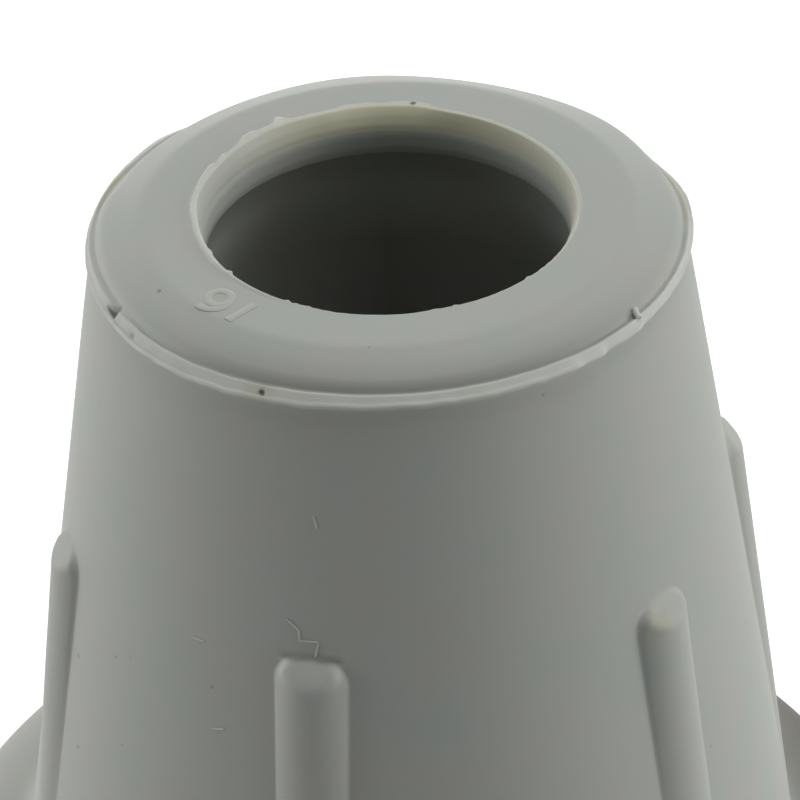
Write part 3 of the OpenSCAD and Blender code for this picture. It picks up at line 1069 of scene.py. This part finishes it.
def rubber_material(finish):
    """Matte grey rubber, paler where the flash is thin, with painted light and painted shade mixed
    into its colour.
    """
    material = bpy.data.materials.new("rubber_grey")
    material.use_nodes = True
    board = Board(material.node_tree)
    colour = board.value(
        "ShaderNodeGroup",
        node_tree=mottle_group(),
        Base=opaque(finish.rubber),
        Cool=opaque(finish.cool),
        Warm=opaque(finish.warm),
        Scale=CLOUD_SCALE,
    )
    masks = {}
    for label, strength, tone in MASKS:
        mask = board.value("ShaderNodeAttribute", attribute_name=label, output="Fac")
        colour = blend(board, mask * strength, colour, opaque(getattr(finish, tone)))
        masks[label] = mask
    spot = spot_group()
    for azimuth, radius, height, size, strength, tone in SPOTS:
        turn = math.radians(azimuth)
        place = (radius * MM * math.sin(turn), -radius * MM * math.cos(turn), height * MM)
        mask = board.value("ShaderNodeGroup", node_tree=spot, Place=place, Size=size * MM)
        colour = blend(board, mask * strength, colour, opaque(getattr(finish, tone)))
    grain = board.value("ShaderNodeGroup", node_tree=grain_group(), Strength=finish.grain)
    # Gloss falls where the painted shade is deepest, in the bore and low on the dome's right; deep
    # recesses mirror only other dark rubber
    deep = board.math("MAXIMUM", masks[SHADE] - DEEP_SHADE, 0.0)
    shader = material.node_tree.nodes["Principled BSDF"]
    board.feed_named(
        shader,
        Base_Color=colour,
        Normal=grain,
        Roughness=finish.roughness,
        Specular_IOR_Level=PLAIN_GLOSS - board.math("MINIMUM", deep, GLOSS_LOSS),
    )
    return material


def seen_rays(board):
    """Whether a ray shows its end to the camera, directly or by way of a gloss or glass."""
    kinds = ("Is Camera Ray", "Is Glossy Ray", "Is Transmission Ray")
    outputs = board.node("ShaderNodeLightPath").outputs
    camera, glossy, through = (Value(board, outputs[kind]) for kind in kinds)
    return board.math("MAXIMUM", board.math("MAXIMUM", camera, glossy), through)


def floor_material():
    """Pale floor that looks white to the camera and keeps the object's shadow."""
    material = bpy.data.materials.new("pale_floor")
    material.use_nodes = True
    material.node_tree.nodes.clear()
    board = Board(material.node_tree)
    matte = board.value("ShaderNodeBsdfDiffuse", FLOOR_GREY)
    glow = board.value("ShaderNodeEmission", WHITE, Strength=seen_rays(board) * FLOOR_GLOW)
    both = board.value("ShaderNodeAddShader", matte, glow)
    board.node("ShaderNodeOutputMaterial", both)
    return material


# ---- Operators ----


def rubber():
    """The one rubber material, made on first use."""
    found = bpy.data.materials.get("rubber_grey")
    if found is None:
        found = rubber_material(bpy.context.scene.tip_finish)
    return found


class TIP_OT_moulded_body(bpy.types.Operator):
    """Builds the moulded body: bore, crown, ribbed cone, foot and tread"""

    bl_idname = "cane_tip.moulded_body"
    bl_label = "Moulded Body"

    def execute(self, context):
        shape = context.scene.tip_shape
        s = Section(shape)
        loft = Loft()
        turns = even_turns(CROWN_TURNS)
        bore_rings(loft, s)
        mouth_rings(loft, s, turns)
        crown_rings(loft, s, turns)
        rim_rings(loft, s, turns)
        outside_rings(loft, s)
        under_rings(loft, s)
        turned = add_object("moulded_body", loft.mesh("moulded_body"))
        body = grow(turned, rib_tree(), {
            "Half Width": shape.rib_w / 2,
            "Face Reach": s.body_r(s.rib_top) * MM + shape.rib_proud,
            "Face Slope": shape.body_slope - shape.rib_fade,
            "Face Radius": shape.rib_face_r,
            "Face Growth": shape.rib_flatten,
            "Top Height": s.rib_top * MM,
            "Corner Radius": shape.rib_corner_r,
            "Nose Length": shape.rib_nose,
            "Nose Fall": shape.rib_nose_fall,
            "Material": rubber(),
        })
        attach(body, BODY)
        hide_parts(NODE)
        return {"FINISHED"}


STROKE_SPACING = 0.08 * MM
MARK_PALENESS = 0.2
# The nib's paleness is partly its paler flash and partly painted light on its shaded front
NIB_RADIUS = 0.14 * MM
NIB_PALENESS = 1.5
FIBRE_RADIUS = 0.04 * MM
FIBRE_PALENESS = 1.0
# Middle lines of the size mark's strokes, in millimetres from the axis, with the loop of the 6
# as its centre and half sizes
MARK_ONE = ((-5.62, -7.27), (-6.74, -8.3))
MARK_SIX_LOOP = ((-7.08, -6.64), 0.48, 0.53)
MARK_SIX_TAIL = ((-6.6, -6.8), (-6.68, -7.05), (-6.85, -7.3), (-7.15, -7.46), (-7.5, -7.43),
                 (-7.82, -7.27), (-8.0, -7.03))
# Loose flash and fibres on the outside: (azimuth, radius, height over the top face) points
NIB = (((51.0, 13.1, -0.86), (51.5, 12.92, -0.78), (52.2, 12.72, -0.72)),)
FIBRES = (
    ((-19.6, 14.78, -11.36), (-17.5, 14.85, -11.84), (-17.3, 14.94, -12.31),
     (-14.2, 14.92, -12.28), (-14.7, 15.05, -12.97)),
    ((-32.3, 15.93, -17.72), (-30.3, 15.9, -17.57)),
    ((-36.7, 15.21, -13.61), (-34.5, 15.2, -13.57)),
    ((-14.9, 13.89, -6.4), (-14.3, 13.99, -6.93)),
)


def stroke_curve(name, runs):
    """A curve object with one spline for each (points, closed) run, in millimetres."""
    curve = bpy.data.curves.new(name, "CURVE")
    curve.dimensions = "3D"
    for points, closed in runs:
        spline = curve.splines.new("POLY")
        spline.points.add(len(points) - 1)
        for spot, (x, y, z) in zip(spline.points, points):
            spot.co = (x * MM, y * MM, z * MM, 1.0)
        spline.use_cyclic_u = closed
    return add_object(name, curve)


def round_points(run, top):
    """Points given by azimuth, radius and height over the top face."""
    turns = [(math.radians(azimuth), radius, top + z) for azimuth, radius, z in run]
    return [(radius * math.sin(turn), -radius * math.cos(turn), z) for turn, radius, z in turns]


def add_strokes(name, runs, radius, paleness, flatness=1.0):
    """Makes one piece of thin strokes, which rides on the body."""
    piece = grow(stroke_curve(name, runs), stroke_tree(), {
        "Radius": radius,
        "Flatness": flatness,
        "Spacing": STROKE_SPACING,
        "Paleness": paleness,
        "Material": rubber(),
    })
    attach(piece, BODY)


class TIP_OT_size_mark(bpy.types.Operator):
    """Raises the tube size in numbers on the top face, beside the mouth"""

    bl_idname = "cane_tip.size_mark"
    bl_label = "Size Mark"

    def execute(self, context):
        shape = context.scene.tip_shape
        (cx, cy), half_x, half_y = MARK_SIX_LOOP
        turn = np.linspace(0, 2 * math.pi, 25)[:-1]
        loop = [(cx + half_x * math.cos(t), cy + half_y * math.sin(t)) for t in turn]
        lines = ((MARK_ONE, False), (loop, True), (MARK_SIX_TAIL, False))
        level = shape.tip_h / MM
        runs = [([(x, y, level) for x, y in line], closed) for line, closed in lines]
        radius = shape.mark_width / 2
        add_strokes("size_mark", runs, radius, MARK_PALENESS, shape.mark_height / radius)
        return {"FINISHED"}


class TIP_OT_loose_flash(bpy.types.Operator):
    """Adds the nib of flash on the rim and the fine fibres on the body"""

    bl_idname = "cane_tip.loose_flash"
    bl_label = "Loose Flash"

    def execute(self, context):
        top = context.scene.tip_shape.tip_h / MM
        nib = [(round_points(run, top), False) for run in NIB]
        fibres = [(round_points(run, top), False) for run in FIBRES]
        add_strokes("flash_nib", nib, NIB_RADIUS, NIB_PALENESS)
        add_strokes("fibres", fibres, FIBRE_RADIUS, FIBRE_PALENESS)
        return {"FINISHED"}


# Softboxes as the name of their power, azimuth and elevation in degrees
SOFTBOXES = (("left", -90, 5), ("left_back", -120, 5), ("right", 90, 5), ("right_front", 60, 5),
             ("back", 180, 5), ("top", 0, 90), ("right_top", 135, 65))
SOFTBOX_SIZE = 0.4
SOFTBOX_DISTANCE = 0.7
LIT_POINT = Vector((0, 0, 0.05))


def softbox(name, power, azimuth, elevation):
    """A square area light, with its power in watts, hung round the object and turned to it."""
    lamp = bpy.data.lights.new(name, "AREA")
    lamp.shape = "SQUARE"
    lamp.size = SOFTBOX_SIZE
    lamp.energy = power
    made = add_object(name, lamp)
    side, high = math.radians(azimuth), math.radians(elevation)
    level = math.cos(high)
    away = Vector((level * math.sin(side), -level * math.cos(side), math.sin(high)))
    place = LIT_POINT + SOFTBOX_DISTANCE * away
    turn = away.to_track_quat("Z", "Y").to_matrix().to_4x4()
    made.matrix_world = Matrix.Translation(place) @ turn


class TIP_OT_stage(bpy.types.Operator):
    """Sets up the floor, the soft studio light and the camera"""

    bl_idname = "cane_tip.stage"
    bl_label = "Stage"

    def execute(self, context):
        scene = context.scene
        setup = scene.tip_stage
        self.lay_floor(setup)
        self.hang_lights(scene, setup)
        self.place_camera(scene, setup)
        scene.view_settings.view_transform = "Standard"
        return {"FINISHED"}

    def lay_floor(self, setup):
        """Lays a wide floor under the object."""
        half = setup.floor_size
        mesh = bpy.data.meshes.new("floor")
        corners = [(-half, -half, 0), (half, -half, 0), (half, half, 0), (-half, half, 0)]
        mesh.from_pydata(corners, [], [(0, 1, 2, 3)])
        mesh.materials.append(floor_material())
        add_object("floor", mesh)

    def hang_lights(self, scene, setup):
        """Hangs five low softboxes round the sides and two high ones, in a dark room."""
        for name, azimuth, elevation in SOFTBOXES:
            softbox(name + "_softbox", getattr(setup, name), azimuth, elevation)
        world = bpy.data.worlds.new("room")
        scene.world = world
        world.use_nodes = True
        world.node_tree.nodes.clear()
        board = Board(world.node_tree)
        level = board.value("ShaderNodeMix", seen_rays(board), None, setup.sky, 1.0)
        room = board.value("ShaderNodeBackground", WHITE, Strength=level)
        board.node("ShaderNodeOutputWorld", room)

    def place_camera(self, scene, setup):
        """Places the camera above the front, looking down into the mouth."""
        crown = Vector((0, 0, scene.tip_shape.tip_h))
        back = Vector((0, -math.cos(setup.elevation), math.sin(setup.elevation)))
        eye = crown + setup.distance * back
        aim = crown + Vector((setup.aim_right, 0, -setup.aim_down))
        turn = (aim - eye).to_track_quat("-Z", "Y").to_matrix().to_4x4()
        data = bpy.data.cameras.new("camera")
        data.sensor_width = 36
        data.lens = setup.lens
        data.clip_start = 1 * MM
        data.clip_end = 10
        camera = add_object("camera", data)
        camera.matrix_world = Matrix.Translation(eye) @ turn @ Matrix.Rotation(setup.roll, 4, "Z")
        scene.camera = camera


class TIP_PT_panel(bpy.types.Panel):
    """Lists the steps that build the tip"""

    bl_idname = "TIP_PT_panel"
    bl_label = "Cane Tip"
    bl_space_type = "VIEW_3D"
    bl_region_type = "UI"
    bl_category = "Cane Tip"

    def draw(self, context):
        for step in STEPS:
            self.layout.operator(step.bl_idname)
        for group in (context.scene.tip_shape, context.scene.tip_finish, context.scene.tip_stage):
            box = self.layout.box()
            for name in group.__annotations__:
                box.prop(group, name)


STEPS = (TIP_OT_stage, TIP_OT_moulded_body, TIP_OT_size_mark, TIP_OT_loose_flash)
SETTINGS = {"tip_shape": TipShape, "tip_finish": TipFinish, "tip_stage": StageSetup}


def register():
    """Registers the classes and hangs their settings on the scene."""
    for kind in (*SETTINGS.values(), *STEPS, TIP_PT_panel):
        bpy.utils.register_class(kind)
    for name, kind in SETTINGS.items():
        setattr(bpy.types.Scene, name, PointerProperty(type=kind))


def unregister():
    """Takes the settings and classes away again."""
    for name in SETTINGS:
        delattr(bpy.types.Scene, name)
    for kind in reversed((*SETTINGS.values(), *STEPS, TIP_PT_panel)):
        bpy.utils.unregister_class(kind)


def main():
    """Builds everything in order."""
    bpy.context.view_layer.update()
    register()
    bpy.ops.cane_tip.stage()
    bpy.ops.cane_tip.moulded_body()
    bpy.ops.cane_tip.size_mark()
    bpy.ops.cane_tip.loose_flash()


if __name__ == "__main__":
    main()
